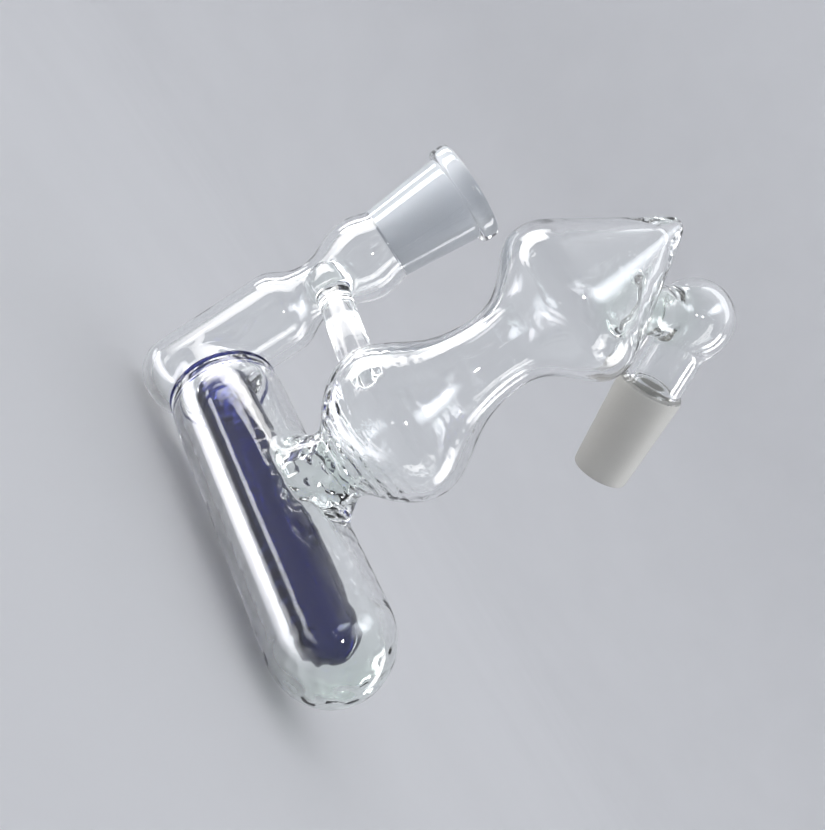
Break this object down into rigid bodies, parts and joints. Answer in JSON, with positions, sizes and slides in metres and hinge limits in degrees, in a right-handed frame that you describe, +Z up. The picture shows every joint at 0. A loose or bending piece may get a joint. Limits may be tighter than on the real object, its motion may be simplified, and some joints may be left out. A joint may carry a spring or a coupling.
{
  "type": "glass bubbler adapter",
  "caption": "Lampworked clear glass bubbler with a ground socket, a blue inner tube in a water chamber, two blown bulbs and a ground cone on a ball elbow.",
  "frame": {"origin": "middle of the ground cone's large end, at the 14.5 mm gauge diameter", "axes": "+Z up and along the ground socket out of its mouth; +X from the riser towards the chamber's closed end"},
  "size_m": [0.0987, 0.0681, 0.1123],
  "materials": {
    "clear_glass": "clear fire-polished borosilicate",
    "weld_glass": "thick clear borosilicate at a weld, faintly green",
    "blue_glass": "cobalt blue borosilicate",
    "satin_socket_glass": "ground satin inside a clear wall",
    "satin_cone_glass": "ground satin outside"
  },
  "bodies": {
    "root": {"ground_socket": "satin_socket_glass", "socket_rim": "clear_glass", "bulge_tube": "clear_glass", "riser_tube": "clear_glass", "blue_seal": "blue_glass", "blue_tube": "blue_glass", "chamber_tube": "clear_glass", "weld_collar": "weld_glass", "lower_bulb": "clear_glass", "upper_bulb": "clear_glass", "support_rod": "clear_glass", "outlet_neck": "clear_glass", "elbow_ball": "clear_glass", "drop_tube": "clear_glass", "cone_shoulder": "clear_glass", "ground_cone": "satin_cone_glass"}
  },
  "joints": []
}
